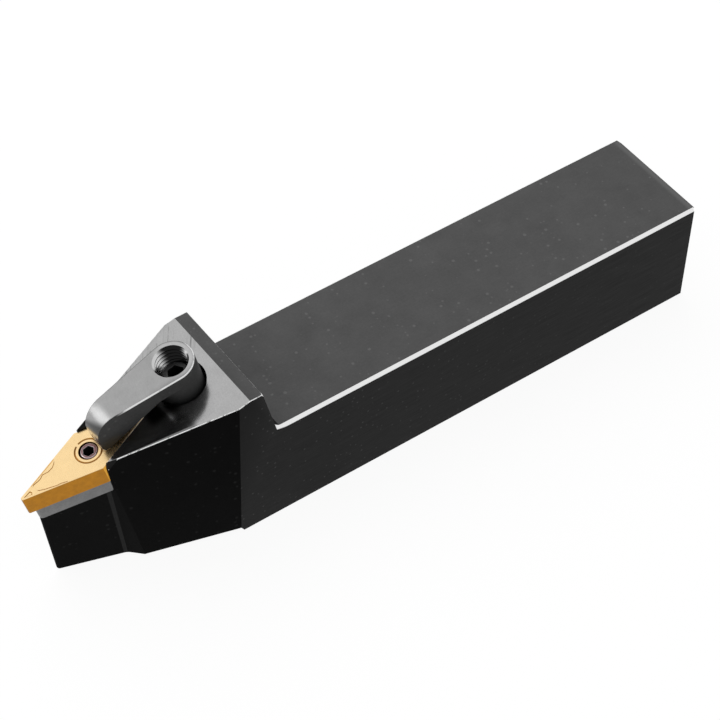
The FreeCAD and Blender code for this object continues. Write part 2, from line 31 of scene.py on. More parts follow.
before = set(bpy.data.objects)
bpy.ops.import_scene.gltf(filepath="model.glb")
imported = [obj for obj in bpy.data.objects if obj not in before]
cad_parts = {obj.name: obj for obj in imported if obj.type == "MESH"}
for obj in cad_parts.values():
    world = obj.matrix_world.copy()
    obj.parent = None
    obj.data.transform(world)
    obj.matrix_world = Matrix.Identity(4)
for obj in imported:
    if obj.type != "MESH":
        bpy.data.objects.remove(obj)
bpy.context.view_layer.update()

bl_info = {
    "name": "Turning tool holder",
    "version": (1, 0, 0),
    "blender": (4, 5, 0),
    "location": "View3D > Sidebar > Tool Holder",
    "description": "Finishes a turning tool holder's pieces and sets up its studio",
    "category": "Object",
}

MM = 0.001
TILT = math.radians(15)
TIP = Vector((-75, 0, 25))
MIDDLE = Vector((0, 0, 0))
REARWARD = Vector((1, 0, 0))
FARWARD = Vector((0, 1, 0))
ALONG = Vector((math.cos(TILT), 0, math.sin(TILT)))
UP = Vector((-math.sin(TILT), 0, math.cos(TILT)))
CENTRE_REACH = 14.9075
THICKNESS = 4.76
HOLE_RADIUS = 1.905
CLAMP_REACH = 35.7
DECK_LEVEL = 0.5
SHANK_TOP = 25.0
SHANK_END = 75.0
RIDGE_TOP = 36.6
PROUD = 0.02
METAL = {"Metallic": 1.0}
EYE = (-0.202196, -0.265034, 0.383682)
GAZE = (0.734987557, -0.0233553443, -0.62690419)


def tilted(reach, across, level):
    """A point of the tilted frame, in millimetres of the holder's frame."""
    return TIP + ALONG * reach + FARWARD * across + UP * level


def tilted_axes(reach, across, level):
    """The placement of something modelled upright at the origin, in metres."""
    turn = Matrix.Rotation(-TILT, 4, "Y")
    return Matrix.Translation(tilted(reach, across, level) * MM) @ turn


def level_of(point):
    """The level of a point that is given in metres."""
    return (point / MM - TIP).dot(UP)


def reach_of(point):
    """The reach of a point that is given in metres."""
    return (point / MM - TIP).dot(ALONG)


def from_stud(point):
    """The distance in millimetres from the stud's axis of a point given in metres."""
    return math.hypot(reach_of(point) - CLAMP_REACH, point.y / MM)


def pick(thing):
    """Select only this object, and make it active."""
    bpy.ops.object.select_all(action="DESELECT")
    thing.select_set(True)
    bpy.context.view_layer.objects.active = thing


def apply_place(thing, place):
    """Move a thing by a matrix and put the move into its mesh."""
    thing.matrix_world = place @ thing.matrix_world
    pick(thing)
    bpy.ops.object.transform_apply(location=True, rotation=True, scale=True)


def close_edit():
    """Leave edit mode."""
    bpy.ops.object.mode_set(mode="OBJECT")


def open_all(thing):
    """Open a mesh for editing with all of it selected."""
    pick(thing)
    bpy.ops.object.mode_set(mode="EDIT")
    bpy.ops.mesh.select_all(action="SELECT")


def outward(thing):
    """Turn a closed mesh's faces outward."""
    open_all(thing)
    bpy.ops.mesh.normals_make_consistent(inside=False)
    close_edit()


def select_none(thing, kind):
    """Set whether vertices, edges or faces are selected, and deselect all of a mesh."""
    pick(thing)
    bpy.ops.object.mode_set(mode="EDIT")
    bpy.ops.mesh.select_mode(type=kind)
    bpy.ops.mesh.select_all(action="DESELECT")
    close_edit()


def choose(thing, kind, test):
    """Open a mesh with the vertices, edges or faces selected that pass a test."""
    select_none(thing, kind)
    mesh = thing.data
    for part in {"VERT": mesh.vertices, "EDGE": mesh.edges, "FACE": mesh.polygons}[kind]:
        part.select = bool(test(part))
    bpy.ops.object.mode_set(mode="EDIT")


def choose_edges(thing, test):
    """Open a mesh with the edges selected whose ends and faces pass a test; gives their number."""
    select_none(thing, "EDGE")
    mesh = thing.data
    sides = {}
    for face in mesh.polygons:
        for key in face.edge_keys:
            sides.setdefault(key, []).append(face)
    chosen = 0
    for edge in mesh.edges:
        ends = [mesh.vertices[i].co for i in edge.vertices]
        faces = sides.get(tuple(sorted(edge.vertices)), [])
        edge.select = bool(len(faces) == 2 and test(ends, faces))
        chosen += edge.select
    bpy.ops.object.mode_set(mode="EDIT")
    return chosen


def merged_copy(node, name):
    """A copy of a CAD node with its triangles joined into clean faces."""
    thing = bpy.data.objects.new(name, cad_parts[node].data.copy())
    bpy.context.scene.collection.objects.link(thing)
    thing.data.name = name
    thing.data.materials.clear()
    pick(thing)
    bpy.ops.mesh.customdata_custom_splitnormals_clear()
    open_all(thing)
    bpy.ops.mesh.remove_doubles(threshold=2e-6)
    bpy.ops.mesh.dissolve_limited(angle_limit=math.radians(0.4))
    bpy.ops.mesh.normals_make_consistent(inside=False)
    close_edit()
    return thing


def dress(thing, finishes, finish_of):
    """Give a thing its materials, and each face the one that a function of the face names."""
    for finish in finishes:
        thing.data.materials.append(finish)
    for face in thing.data.polygons:
        face.material_index = finish_of(face)


def break_edges(thing, width, slot, test, steps=2):
    """Bevel the edges that pass a test, with a material of its own on the new faces."""
    if choose_edges(thing, test):
        bpy.ops.mesh.bevel(
            offset=width, segments=steps, affect="EDGES", material=slot, clamp_overlap=False
        )
    close_edit()


def break_corners(thing, width, slot, test):
    """Bevel the corners that pass a test, with a material of its own on the new faces."""
    choose(thing, "VERT", lambda vertex: test(vertex.co))
    bpy.ops.mesh.bevel(offset=width, segments=2, affect="VERTICES", material=slot)
    close_edit()


def carve(thing, tool, finish_of, place=None):
    """Place a tool, cut a thing with it and use it up; its faces name the finish of the cut."""
    dress(tool, thing.data.materials, finish_of)
    if place:
        apply_place(tool, place)
    pick(thing)
    bpy.ops.object.modifier_add(type="BOOLEAN")
    cut = thing.modifiers[-1]
    cut.operation = "DIFFERENCE"
    cut.solver = "EXACT"
    cut.material_mode = "TRANSFER"
    cut.object = tool
    bpy.ops.object.modifier_apply(modifier=cut.name)
    bpy.data.objects.remove(tool, do_unlink=True)


def smooth(thing, angle=30):
    """Shade smooth but for edges sharper than an angle."""
    pick(thing)
    bpy.ops.object.shade_smooth_by_angle(angle=math.radians(angle))


def keep_crisp(thing, test):
    """Mark edges that pass a test as sharp, so that flat faces on both sides stay flat."""
    if choose_edges(thing, test):
        bpy.ops.mesh.mark_sharp()
    close_edit()


def stand_for(thing, node, body):
    """Show a thing in a CAD node's place, on its body."""
    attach(thing, body)
    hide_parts(node)


def bend_angle(faces):
    """The angle between the two faces of an edge."""
    return faces[0].normal.angle(faces[1].normal, 0)


def sweep_tool(corners, turns, rise=0.0, steps=40):
    """A cutter swept round the vertical axis from corners (radius, level) of its section."""
    bpy.ops.mesh.primitive_circle_add(vertices=len(corners), radius=1 * MM, fill_type="NOTHING")
    tool = bpy.context.object
    for vertex, (radius, level) in zip(tool.data.vertices, corners):
        vertex.co = (radius * MM, 0, level * MM)
    bpy.ops.object.modifier_add(type="SCREW")
    sweep = tool.modifiers[-1]
    sweep.axis = "Z"
    sweep.angle = 2 * math.pi * turns
    sweep.screw_offset = rise * MM
    sweep.steps = sweep.render_steps = int(steps * abs(turns))
    sweep.use_merge_vertices = False
    bpy.ops.object.modifier_apply(modifier=sweep.name)
    open_all(tool)
    bpy.ops.mesh.fill_holes(sides=len(corners))
    close_edit()
    outward(tool)
    return tool


def thread_tool(base, crest, half, pitch, low, high, hand=1):
    """A helical ridge with a three-sided section, as a cutter round the vertical axis."""
    corners = [(base, low - half), (base, low + half), (crest, low)]
    return sweep_tool(corners, hand * (high - low) / pitch, rise=high - low)


def pocket_tool(points, shifts, depth):
    """A cutter with an outline of points (x, y) at z = 0; the shifts move its floor's points."""
    bpy.ops.mesh.primitive_circle_add(vertices=len(points), radius=1 * MM, fill_type="NGON")
    tool = bpy.context.object
    for vertex, (x, y) in zip(tool.data.vertices, points):
        vertex.co = (x * MM, y * MM, PROUD * MM)
    open_all(tool)
    down = (0, 0, -depth - PROUD * MM)
    bpy.ops.mesh.extrude_region_move(TRANSFORM_OT_translate={"value": down})
    close_edit()
    for vertex in tool.data.vertices:
        if vertex.co.z < 0:
            place = vertex.co / MM
            nearest = min(range(len(points)), key=lambda i: math.dist(points[i], place.xy))
            vertex.co.x += shifts[nearest][0] * MM
            vertex.co.y += shifts[nearest][1] * MM
    outward(tool)
    return tool


def set_inputs(tree, node, inputs):
    """Give a node's inputs their values; each is a constant or an output."""
    for label, value in inputs.items():
        if hasattr(value, "is_output"):
            tree.links.new(value, node.inputs[label])
        else:
            node.inputs[label].default_value = value


def add(tree, kind, inputs=None, **settings):
    """A new shader node with its properties and inputs set."""
    node = tree.nodes.new("ShaderNode" + kind)
    for label, value in settings.items():
        setattr(node, label, value)
    set_inputs(tree, node, inputs or {})
    return node


def math_node(tree, operation, first, second=None, clamp=False):
    """The result of a Math node; each value is a number or an output."""
    inputs = {0: first} if second is None else {0: first, 1: second}
    return add(tree, "Math", inputs, operation=operation, use_clamp=clamp).outputs[0]


def product(tree, result, *values):
    """The product of numbers and outputs."""
    for value in values:
        result = math_node(tree, "MULTIPLY", result, value)
    return result


def difference(tree, first, second):
    """The first value less the second."""
    return math_node(tree, "SUBTRACT", first, second)


def ranged(tree, value, low, high, to_low=0.0, to_high=1.0):
    """A value mapped smoothly from one range to another."""
    inputs = {
        "Value": value, "From Min": low, "From Max": high, "To Min": to_low, "To Max": to_high,
    }
    return add(tree, "MapRange", inputs, interpolation_type="SMOOTHSTEP").outputs["Result"]


def blend(tree, factor, first, second, mode="MIX"):
    """Two colours mixed by a factor; each value is a number, a colour or an output."""
    node = add(tree, "Mix", data_type="RGBA", blend_type=mode)
    for label, value in (("Factor", factor), ("A", first), ("B", second)):
        socket = next(s for s in node.inputs if s.name == label and s.enabled)
        if hasattr(value, "is_output"):
            tree.links.new(value, socket)
        else:
            socket.default_value = value if label == "Factor" else (*value, 1.0)
    return next(s for s in node.outputs if s.enabled)


def tinted(tree, tone, shade):
    """A tone made lighter or darker by a shade round one."""
    return blend(tree, 1.0, tone, shade, mode="MULTIPLY")


def grey(tone):
    """A colour without a hue."""
    return (tone, tone, tone)


def new_group(name, result, **inputs):
    """A node group with a vector, other inputs with these values, and one result."""
    group = bpy.data.node_groups.new(name, "ShaderNodeTree")
    sockets = group.interface
    sockets.new_socket("Vector", in_out="INPUT", socket_type="NodeSocketVector")
    for label, value in inputs.items():
        kind = "NodeSocketVector" if isinstance(value, tuple) else "NodeSocketFloat"
        sockets.new_socket(label, in_out="INPUT", socket_type=kind).default_value = value
    sockets.new_socket(result, in_out="OUTPUT", socket_type="NodeSocketFloat")
    entry = group.nodes.new("NodeGroupInput").outputs
    leave = group.nodes.new("NodeGroupOutput").inputs
    return group, entry, leave


def scale_for(tree, size):
    """The scale of a texture whose features have a size in millimetres."""
    return math_node(tree, "DIVIDE", 1 / MM, size)


def specks_group():
    """Small round specks of dust and rust, and pits, at random places."""
    group, entry, leave = new_group("Specks", "Mask", Spacing=1.0, Share=0.3, Size=0.2)
    places = {"Vector": entry["Vector"], "Scale": scale_for(group, entry["Spacing"])}
    cells = add(group, "TexVoronoi", places, feature="F1").outputs
    parts = add(group, "SeparateColor", {"Color": cells["Color"]}).outputs
    kept = math_node(group, "LESS_THAN", parts[0], entry["Share"])
    spare = difference(group, product(group, parts[1], entry["Size"]), cells["Distance"])
    crispness = 8.0
    body = math_node(group, "MULTIPLY", spare, crispness, clamp=True)
    group.links.new(product(group, kept, body), leave["Mask"])
    return group


def mottling_group():
    """Cloudy change of tone round a middle of one."""
    group, entry, leave = new_group("Mottling", "Value", Size=3.0, Strength=0.2)
    cloud = add(group, "TexNoise", {
        "Vector": entry["Vector"], "Scale": scale_for(group, entry["Size"]),
        "Detail": 5.0, "Roughness": 0.62,
    })
    swing = difference(group, cloud.outputs["Fac"], 0.5)
    swing = product(group, swing, 4.0, entry["Strength"])
    group.links.new(math_node(group, "ADD", swing, 1.0), leave["Value"])
    return group


def tool_marks_group():
    """Fine parallel lines that a grinding wheel or cutter leaves, along one direction."""
    group, entry, leave = new_group("Tool marks", "Value", Direction=(1.0, 0.0, 0.0), Spacing=0.1)
    place, way = entry["Vector"], entry["Direction"]
    run = add(group, "VectorMath", {0: place, 1: way}, operation="DOT_PRODUCT").outputs["Value"]
    stretch = product(group, run, 0.97)
    back = add(group, "VectorMath", {0: way, "Scale": stretch}, operation="SCALE").outputs[0]
    flat = add(group, "VectorMath", {0: place, 1: back}, operation="SUBTRACT").outputs[0]
    lines = add(group, "TexNoise", {
        "Vector": flat, "Scale": scale_for(group, entry["Spacing"]),
        "Detail": 3.0, "Roughness": 0.7,
    })
    group.links.new(lines.outputs["Fac"], leave["Value"])
    return group


def scratches_group():
    """Short dark scratches and dents, in patches, along one direction."""
    group, entry, leave = new_group(
        "Scratches", "Mask", Direction=(1.0, 0.0, 0.0), Spacing=0.5, Patch=4.0
    )
    marks = effect(group, "Tool marks", entry["Vector"], Direction=entry["Direction"],
                   Spacing=entry["Spacing"])
    patch = effect(group, "Mottling", entry["Vector"], Size=entry["Patch"], Strength=0.5)
    lines, spots = ranged(group, marks, 0.60, 0.70), ranged(group, patch, 1.05, 1.35)
    group.links.new(product(group, lines, spots), leave["Mask"])
    return group


EFFECTS = {
    "Specks": specks_group,
    "Mottling": mottling_group,
    "Tool marks": tool_marks_group,
    "Scratches": scratches_group,
}


def effect(tree, name, place=None, **values):
    """The result of a shared group, at the surface's own coordinates unless a place is given."""
    group = bpy.data.node_groups.get(name) or EFFECTS[name]()
    if place is None:
        place = tree.nodes["Place"].outputs["Object"]
    return add(tree, "Group", dict(values, Vector=place), node_tree=group).outputs[0]


def along(tree, direction, origin=TIP):
    """How far a point of the surface lies from an origin along a direction, in millimetres."""
    inputs = {0: tree.nodes["Place"].outputs["Object"], 1: direction / MM}
    run = add(tree, "VectorMath", inputs, operation="DOT_PRODUCT").outputs["Value"]
    return difference(tree, run, origin.dot(direction))


def new_material(name):
    """An empty material with its shader, output and coordinates; gives it and its tree."""
    material = bpy.data.materials.new(name)
    material.use_nodes = True
    tree = material.node_tree
    tree.nodes.clear()
    shader = add(tree, "BsdfPrincipled")
    add(tree, "OutputMaterial", {"Surface": shader.outputs["BSDF"]})
    add(tree, "TexCoord", name="Place")
    return material, tree


def set_shader(tree, colour, rough, height, depth, more):
    """Set a shader's colour, roughness, bump with a depth in millimetres, and other inputs."""
    bump = add(tree, "Bump", {"Distance": depth * MM, "Height": height}).outputs["Normal"]
    inputs = {"Base Color": colour, "Roughness": rough, "Normal": bump, **more}
    set_inputs(tree, tree.nodes["Principled BSDF"], inputs)


def base_colour(material):
    """A material's tree, the output that gives its colour and the socket that it feeds."""
    tree = material.node_tree
    socket = tree.nodes["Principled BSDF"].inputs["Base Color"]
    return tree, socket.links[0].from_socket, socket


def masked(material, tone, direction, origin, low, high, most=1.0):
    """A material that turns to another tone along a direction, between two distances."""
    tree, ground, socket = base_colour(material)
    share = ranged(tree, along(tree, direction, origin), low, high, 0.0, most)
    tree.links.new(blend(tree, share, ground, tone), socket)
    return material


def blackened_steel(name, tone, dust, gloss=0.1, mottle=0.2, grime=0.3):
    """Oxide-blackened steel with cloudy tone, cutter marks and pale specks."""
    material, tree = new_material(name)
    cloud = effect(tree, "Mottling", Size=6.0, Strength=mottle)
    fine = effect(tree, "Mottling", Size=0.5, Strength=mottle * 0.7)
    lines = effect(tree, "Tool marks", Spacing=0.25)
    shade = product(tree, cloud, fine, ranged(tree, lines, 0.25, 0.75, 0.96, 1.04))
    small = effect(tree, "Specks", Spacing=1.2, Share=0.5, Size=0.36)
    big = effect(tree, "Specks", Spacing=2.6, Share=0.25, Size=0.12)
    mask = product(tree, math_node(tree, "MAXIMUM", small, big), grime)
    colour = blend(tree, mask, tinted(tree, tone, shade), dust)
    rough = ranged(tree, lines, 0.2, 0.8, 0.42, 0.6)
    set_shader(tree, colour, rough, lines, 0.005, {"Specular IOR Level": gloss})
    return material


def bare_steel(name, tone, rough, marks=(1.0, 0.0, 0.0), spacing=0.12, mottle=0.06, lines=0.04,
               scratches=0.0):
    """Bare ground or milled steel with the lines of its wheel and a few scratches."""
    material, tree = new_material(name)
    cloud = effect(tree, "Mottling", Size=4.0, Strength=mottle)
    fine = effect(tree, "Mottling", Size=0.35, Strength=mottle)
    wheel = effect(tree, "Tool marks", Direction=marks, Spacing=spacing)
    shade = product(tree, cloud, ranged(tree, wheel, 0.25, 0.75, 1 - lines, 1 + lines), fine)
    pits = effect(tree, "Specks", Spacing=1.5, Share=0.2, Size=0.1)
    colour = blend(tree, product(tree, pits, 0.35), tinted(tree, tone, shade), grey(0.12))
    if scratches:
        cuts = effect(tree, "Scratches", Direction=(0.35, 0.9, 0.1), Spacing=0.45, Patch=5.0)
        colour = blend(tree, product(tree, cuts, scratches), colour, grey(0.1))
    roughness = ranged(tree, wheel, 0.2, 0.8, rough * 0.85, rough * 1.2)
    set_shader(tree, colour, roughness, wheel, 0.001, METAL)
    return material


def worn_steel(name, bright, dull, share, size=1.2):
    """Bright metal in uneven lengths with the black coat left between them: a worn edge, or a
    painted highlight along an edge.
    """
    material, tree = new_material(name)
    patch = effect(tree, "Mottling", Size=size, Strength=0.5)
    fine = effect(tree, "Mottling", Size=0.3, Strength=0.25)
    bare = ranged(tree, product(tree, patch, fine), 1.35 - share, 1.75 - share)
    rough = ranged(tree, fine, 0.5, 1.5, 0.24, 0.39)
    set_shader(tree, blend(tree, bare, dull, bright), rough, fine, 0.004, METAL)
    return material


def colour_of(label, place, value):
    """The colour of a place as a property; its default is a colour or the tone of a grey."""
    value = value if isinstance(value, tuple) else grey(value)
    return FloatVectorProperty(
        name=label, description="Colour of the " + place, default=value, size=3, min=0.0,
        max=1.0, subtype="COLOR",
    )


def length_of(label, about, value):
    """A length property, given in millimetres and kept in metres."""
    return FloatProperty(
        name=label, description=about, default=value * MM, min=0.0, precision=5, unit="LENGTH"
    )


def power_of(label, about, value):
    """A property for a lamp's power."""
    return FloatProperty(name=label, description=about, default=value, min=0.0, unit="POWER")


class HolderFinish(PropertyGroup):
    """Colours and worn edges of the shank and head"""

    # Painted light and shade: top, side and head are one blackened steel, lit on the top, in shade
    # on the sides and in deep shade on the head.
    top: colour_of("Shank top", "shank's top and the ridge", 0.067)
    side: colour_of("Shank side", "shank's sides and underside", 0.0063)
    head: colour_of("Head flank painted deep shade", "head's tapered sides and nose", 0.0026)
    deck: colour_of("Deck", "ground deck that the clamp stands on", 0.42)
    # Tone of the clamp's reflection, painted on the deck beside the finger.
    clamp_reflection: colour_of("Deck painted reflection", "deck beside the finger", 0.165)
    worn: colour_of("Worn edges", "bare worn edges", 0.86)
    # A painted highlight: a gold-cream line on the deck's steel edge at the seat.
    seat: colour_of("Seat edge", "deck's edge at the seat", (1.0, 0.80, 0.58))
    chamfer: colour_of("Chamfer", "shank's long bare chamfers", 1.0)
    dust: colour_of("Dust", "specks of dust", 0.30)
    edge: length_of("Edge width", "Width of the worn edges", 0.13)
    corner_width: length_of("Corner width", "Width of the worn corner at the ridge", 0.65)
    seat_width: length_of("Seat edge width", "Width of the deck's edge at the seat", 0.234)
    ridge_width: length_of("Ridge edge width", "Width of the ridge's rear edge", 0.078)
    mouth: length_of("Mouth corner", "Depth of the cut corner at the pocket's mouth", 1.3)


class InsertFinish(PropertyGroup):
    """Colours and chip forms of the insert"""

    face: colour_of("Face", "upper and lower face", (0.93, 0.68, 0.355))
    # Painted light and shade: front and rear sides are one coating, in shade at the front and lit
    # at the rear.
    side: colour_of("Side", "front sides", (0.40, 0.165, 0.006))
    back: colour_of("Back side", "rear sides", (0.74, 0.36, 0.03))
    # Painted shade: the chip forms' inner walls and the hole's wall are a darker copy of the
    # coating.
    wall: colour_of("Groove wall", "chip forms' walls", (0.42, 0.20, 0.045))
    groove_depth: length_of("Groove depth", "Depth of the chip groove", 0.11)
    ring_depth: length_of("Ring depth", "Depth of the ring groove round the hole", 0.12)
    edge: length_of("Edge width", "Width of the broken cutting edge", 0.05)


class ShimFinish(PropertyGroup):
    """Colours of the shim"""

    # Painted light and shade: one ground carbide, in shade on the front sides and lit on the rear
    # sides.
    front: colour_of("Front sides", "ground carbide in front", 0.175)
    back: colour_of("Rear sides", "ground carbide at the rear", 0.60)
    edge: length_of("Edge width", "Width of the broken edges", 0.06)


class ClampFinish(PropertyGroup):
    """Colours and thread of the clamp"""

    top: colour_of("Top", "satin top and bend", 0.36)
    ring: colour_of("Ring", "ground ring round the hole", 0.47)
    side: colour_of("Side", "blackened sides", 0.038)
    # A painted highlight on the near side of the upper edge.
    rim_highlight: colour_of("Painted rim highlight", "painted highlight along the near upper edge", 0.85)
    thread: colour_of("Thread", "cut thread", 0.70)
    pitch: length_of("Pitch", "Pitch of the thread in the hole", 1.0)
    edge: length_of("Edge width", "Width of the broken edges", 0.1)


class ScrewFinish(PropertyGroup):
    """Colours and threads of the lock pin and the clamp stud"""

    pin: colour_of("Pin", "tempered pin", (0.21, 0.115, 0.12))
    stud: colour_of("Stud", "stud", 0.10)
    # Painted shade: the hex sockets' insides are near black.
    socket: colour_of("Socket", "hex sockets' insides", 0.01)
    pitch: length_of("Pitch", "Pitch of the stud's threads", 1.0)
    edge: length_of("Edge width", "Width of the broken edges", 0.06)


class StudioLight(PropertyGroup):
    """Lamps and camera of the studio"""

    dome: FloatProperty(name="Dome", description="Light from all round", default=0.75, min=0.0)
    softbox: power_of("Softbox", "Power of the wide lamp behind the tool", 8.6)
    sheen: power_of("Sheen", "Power of the faint wide lamp that metals reflect", 0.9)
    front: power_of("Front lamp", "Power of the lamp in front of the finger", 3.2)
    lens: FloatProperty(
        name="Lens", description="Focal length", default=127.907, min=1.0, unit="CAMERA"
    )


SIDE, TOP, HEAD, DECK, WORN, FAINT, BORE, CHAMFER, SEAT_HIGHLIGHT = range(9)


class TOOL_HOLDER_OT_holder(Operator):
    """Finish the shank and head: blackened, ground on the deck and worn along its edges"""

    bl_idname = "tool_holder.holder"
    bl_label = "Shank and head"

    def execute(self, context):
        look = context.scene.holder_finish
        thing = merged_copy("holder", "holder_body")
        dress(thing, self.finishes(look), self.finish_of)
        carve(thing, self.corner_tool(look.mouth / MM), lambda face: BORE)
        break_corners(thing, look.corner_width, WORN, self.rear_corner)
        break_edges(thing, look.edge, WORN, self.flank_edge)
        break_edges(thing, look.seat_width, SEAT_HIGHLIGHT, self.seat_edge)
        break_edges(thing, look.ridge_width, FAINT, self.ridge_edge)
        smooth(thing)
        keep_crisp(thing, self.flat_edge)
        stand_for(thing, "holder", "holder")
        return {"FINISHED"}

    @classmethod
    def finishes(cls, look):
        """The materials, in the order of their slots."""
        # One blackened steel in lit and shaded copies: painted lit on the top, painted shade on
        # the sides, painted deep shade on the head.
        side = blackened_steel("Blackened steel painted in shade on the sides", look.side, look.dust, grime=0.1)
        top = blackened_steel(
            "Blackened steel painted lit on top", look.top, look.dust, gloss=0.08, mottle=0.12, grime=0.13
        )
        deck = bare_steel("Ground deck", look.deck, 0.17, marks=(0.3, 1.0, 0.1), scratches=0.5)
        chamfer = worn_steel("Bright chamfer", look.chamfer, grey(0.7), 1.0, size=6.0)
        chamfer_start = Vector((0, 0, 21.75))
        return [
            # Painted shade: the sides darken towards the shank's rear.
            masked(side, look.head, REARWARD, MIDDLE, low=-30.0, high=60.0, most=0.7),
            masked(top, grey(0.12), REARWARD, MIDDLE, low=72.6, high=73.6, most=0.6),
            blackened_steel("Blackened steel painted in deep shade on the head", look.head, look.dust, gloss=0.02, grime=0.03),
            cls.painted_reflection_and_shade(deck, look.clamp_reflection),
            worn_steel("Worn edge", look.worn, grey(0.12), 0.75),
            worn_steel("Faint edge", grey(0.30), look.top, 0.6),
            # Painted shade: pocket floors, relief walls and the cut corner take the head's deep
            # shade tone.
            blackened_steel("Bores painted deep shade", look.head, look.dust, grime=0.05),
            masked(chamfer, look.side, Vector((0.1, 0, 1)), chamfer_start, low=0.15, high=0.0),
            # Painted highlight: the deck's steel edge at the seat takes a bright gold-cream line.
            worn_steel("Painted gold highlight at the seat", look.seat, (0.40, 0.20, 0.08), 0.85),
        ]

    @staticmethod
    def finish_of(face):
        """The material of a face by its direction and place."""
        way, place = face.normal, face.center
        height = place.z / MM
        if way.dot(UP) > 0.999 and level_of(place) > DECK_LEVEL - 0.2:
            return DECK
        if way.z > 0.99:
            return TOP if height > SHANK_TOP - 5 else BORE
        if way.z > 0.5 and abs(way.y) > 0.5 and height > SHANK_TOP - 1:
            return CHAMFER
        if way.x > 0.5 and height > SHANK_TOP + 0.5:
            return TOP
        if way.z < -0.5 or abs(way.y) > 0.99:
            return SIDE
        before_end = place.x / MM < SHANK_END - 5
        if abs(place.y) < 4.5 * MM and reach_of(place) > 8 and before_end:
            return BORE
        return HEAD if place.x < 0 else SIDE

    @staticmethod
    def painted_reflection_and_shade(material, clamp_reflection):
        """The deck's steel, with a painted reflection of the clamp beside the finger, painted
        shade under the finger, and dark at the far corner.
        """
        tree, colour, socket = base_colour(material)
        reach, across = along(tree, ALONG), along(tree, FARWARD)
        start, lean, side = 17.0, -0.122, 6.45
        strip = product(tree, difference(tree, reach, start), lean)
        strip = difference(tree, difference(tree, strip, across), side)
        # Painted reflection of the clamp on the strip of deck beside the finger.
        patch = product(tree, ranged(tree, reach, 33.4, 32.0), ranged(tree, strip, -1.5, 0.0))
        corner = product(tree, ranged(tree, reach, 20.0, 19.0), ranged(tree, across, 0.5, 1.5))
        # Painted shade under the finger's arch.
        shade_under_finger = product(
            tree, ranged(tree, reach, 25.5, 27.5), ranged(tree, reach, 34.5, 33.0),
            ranged(tree, across, -5.4, -3.4, 0.0, 0.95), ranged(tree, across, 1.5, 0.5),
        )
        strokes = effect(tree, "Tool marks", Direction=(0.6, 0.8, 0.16), Spacing=0.45)
        cloud = effect(tree, "Mottling", Size=3.0, Strength=0.3)
        dents = product(
            tree, ranged(tree, strokes, 0.52, 0.6), ranged(tree, cloud, 0.9, 1.1),
            ranged(tree, across, 3.0, 6.0, 0.0, 0.6),
        )
        # Painted shade under the finger, painted reflection of the clamp, real dents, and a dark
        # far corner.
        tones = ((shade_under_finger, grey(0.012)), (patch, clamp_reflection), (dents, grey(0.12)), (corner, grey(0.01)))
        for mask, tone in tones:
            colour = blend(tree, mask, colour, tone)
        tree.links.new(colour, socket)
        return material

    @staticmethod
    def corner_tool(depth):
        """A block that cuts off the deck's near corner at the pocket's mouth, down to a depth."""
        first = tilted(17.3, -5.32, DECK_LEVEL) * MM
        second = tilted(15.5, -4.85, DECK_LEVEL - depth) * MM
        third = tilted(15.9, -4.7, DECK_LEVEL) * MM
        way = (second - first).cross(third - first).normalized()
        way = way if way.y < 0 else -way
        size = 3 * MM
        bpy.ops.mesh.primitive_cube_add(size=size)
        tool = bpy.context.object
        turn = way.to_track_quat("Z", "Y").to_matrix().to_4x4()
        middle = (first + second + third) / 3
        apply_place(tool, Matrix.Translation(middle + way * size / 2) @ turn)
        return tool

    @staticmethod
    def flank_edge(ends, faces):
        """The edges where the deck and the ridge meet the head's flanks."""
        upper = any(face.material_index in (DECK, TOP, BORE) for face in faces)
        side = any(face.normal.y * face.center.y > 0.85 * abs(face.center.y)
                   and face.material_index != BORE for face in faces)
        high = all(end.z > (SHANK_TOP + 0.5) * MM and end.x < 0 for end in ends)
        clear = all(from_stud(end) > 5.4 for end in ends)
        return upper and side and high and clear and bend_angle(faces) > 0.5

    @staticmethod
    def seat_edge(ends, faces):
        """The deck's near edge at the insert's seat."""
        upper = any(face.material_index == DECK for face in faces)
        wall = any(face.normal.y > 0.85 for face in faces)
        near = all(end.y < -0.3 * MM and reach_of(end) < 29 for end in ends)
        return upper and wall and near and bend_angle(faces) > 0.5

    @staticmethod
    def rear_corner(place):
        """The near corner at the ridge's rear edge."""
        return place.y < -8 * MM and place.z > 36 * MM and reach_of(place) > 44

    @staticmethod
    def ridge_edge(ends, faces):
        """The ridge's rear edge."""
        level = all(abs(end.z - RIDGE_TOP * MM) < 0.2 * MM for end in ends)
        across = abs((ends[1] - ends[0]).normalized().y) > 0.99
        return level and across and bend_angle(faces) > 0.6

    @staticmethod
    def flat_edge(ends, faces):
        """Edges between two wide flat faces, however blunt."""
        return min(face.area for face in faces) > 3e-6 and bend_angle(faces) > 0.16


class TOOL_HOLDER_OT_shim(Operator):
    """Finish the shim: bare ground carbide"""

    bl_idname = "tool_holder.shim"
    bl_label = "Shim"

    def execute(self, context):
        look = context.scene.shim_finish
        thing = merged_copy("shim", "shim_plate")
        # The rear sides take a painted lit copy of the ground carbide.
        finishes = [
            bare_steel("Carbide painted in shade at the front", look.front, 0.4, spacing=0.06, mottle=0.16),
            bare_steel("Carbide painted lit at the rear", look.back, 0.4, spacing=0.06, mottle=0.16),
            bare_steel("Carbide edge", grey(0.07), 0.4),
        ]
        dress(thing, finishes, lambda face: int(face.normal.dot(ALONG) > 0.2))
        break_edges(thing, look.edge, slot=2, test=lambda ends, faces: bend_angle(faces) > 0.7)
        smooth(thing, 20)
        stand_for(thing, "shim", "holder")
        return {"FINISHED"}


FACE, FRONT, BACK, GROOVE, LIP = range(5)


